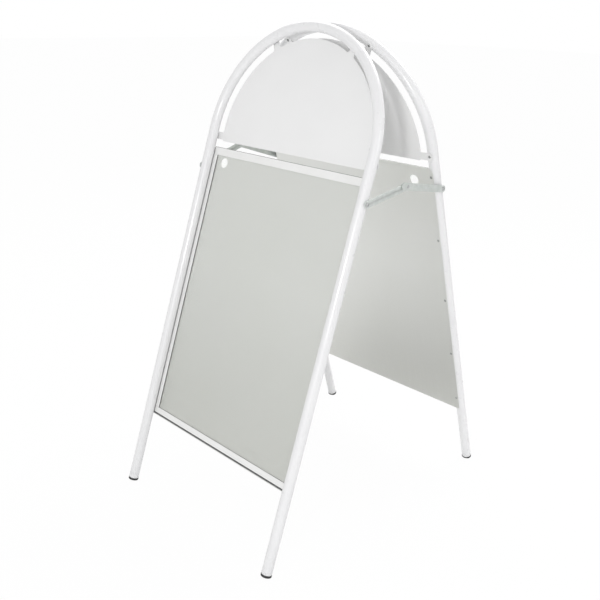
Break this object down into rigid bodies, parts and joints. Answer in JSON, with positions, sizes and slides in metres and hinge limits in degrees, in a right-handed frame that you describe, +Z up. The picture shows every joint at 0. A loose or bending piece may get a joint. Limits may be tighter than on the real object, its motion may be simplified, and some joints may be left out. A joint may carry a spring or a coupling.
{
  "type": "sandwich board",
  "caption": "Folding round-top pavement sign: two arched tube frames with header sheets, poster panels, magnetic clear covers and folding side stays.",
  "frame": {"origin": "on the floor, midway between the four feet", "axes": "+Z up, +X to the right seen from the front, front frame at -Y"},
  "size_m": [0.6888, 0.9656, 1.42],
  "materials": {
    "white_enamel": "gloss powder coat",
    "header_enamel": "satin powder coat",
    "galvanised_steel": "matt zinc coat",
    "clear_film": "clear, slightly matt",
    "magnetic_rubber": "matt",
    "border_white": "satin",
    "black_plastic": "moulded",
    "zinc_stay": "bright zinc plate",
    "zinc_fasteners": "zinc plate"
  },
  "bodies": {
    "front_frame": {"front_tube": "white_enamel", "front_header_sheet": "header_enamel", "front_back_panel": "galvanised_steel", "front_header_rivets": "zinc_fasteners", "front_panel_rivets": "zinc_fasteners", "front_left_foot": "black_plastic", "front_right_foot": "black_plastic", "front_hinge_knuckles": "white_enamel", "hinge_pins": "zinc_fasteners", "front_stay_spacers": "zinc_fasteners", "front_pivot_screws": "zinc_fasteners"},
    "rear_frame": {"rear_tube": "white_enamel", "rear_header_sheet": "header_enamel", "rear_back_panel": "galvanised_steel", "rear_header_rivets": "zinc_fasteners", "rear_panel_rivets": "zinc_fasteners", "rear_left_foot": "black_plastic", "rear_right_foot": "black_plastic", "rear_hinge_knuckles": "white_enamel", "rear_stay_spacers": "zinc_fasteners"},
    "front_cover": {"front_cover_film": "clear_film", "front_magnet_tape": "magnetic_rubber", "front_border_facing": "border_white"},
    "rear_cover": {"rear_cover_film": "clear_film", "rear_magnet_tape": "magnetic_rubber", "rear_border_facing": "border_white"},
    "right_front_link": {"right_front_link": "zinc_stay", "right_mid_rivet": "zinc_fasteners"},
    "left_front_link": {"left_front_link": "zinc_stay", "left_mid_rivet": "zinc_fasteners"},
    "right_rear_link": {"right_rear_link": "zinc_stay", "right_rear_pivot_screw": "zinc_fasteners"},
    "left_rear_link": {"left_rear_link": "zinc_stay", "left_rear_pivot_screw": "zinc_fasteners"}
  },
  "joints": [
    {"name": "fold", "type": "hinge", "parent": "front_frame", "child": "rear_frame", "pos_m": [0, 0, 1.40519], "axis": [-1, 0, 0], "range_deg": [0, 35]},
    {"name": "right_front_link_turn", "type": "hinge", "parent": "front_frame", "child": "right_front_link", "pos_m": [0.3378, -0.15881, 0.98556], "axis": [1, 0, 0], "range_deg": [0, 53.83]},
    {"name": "right_rear_link_turn", "type": "hinge", "parent": "right_front_link", "child": "right_rear_link", "pos_m": [0.3378, 0, 1.01256], "axis": [-1, 0, 0], "range_deg": [0, 142.66]},
    {"name": "left_front_link_turn", "type": "hinge", "parent": "front_frame", "child": "left_front_link", "pos_m": [-0.3378, -0.15881, 0.98556], "axis": [1, 0, 0], "range_deg": [0, 46.3]},
    {"name": "left_rear_link_turn", "type": "hinge", "parent": "left_front_link", "child": "left_rear_link", "pos_m": [-0.3378, 0, 1.03556], "axis": [-1, 0, 0], "range_deg": [0, 127.6]},
    {"name": "front_cover_pull", "type": "slide", "parent": "front_frame", "child": "front_cover", "axis": [0, -0.9537, 0.3007], "range_m": [0, 0.06]},
    {"name": "rear_cover_pull", "type": "slide", "parent": "rear_frame", "child": "rear_cover", "axis": [0, 0.9537, 0.3007], "range_m": [0, 0.06]}
  ],
  "couplings": [
    {"joint": "right_front_link_turn", "follows": "fold", "ratio": 1.5378},
    {"joint": "right_rear_link_turn", "follows": "fold", "ratio": 4.0757},
    {"joint": "left_front_link_turn", "follows": "fold", "ratio": 1.3227},
    {"joint": "left_rear_link_turn", "follows": "fold", "ratio": 3.6453}
  ]
}
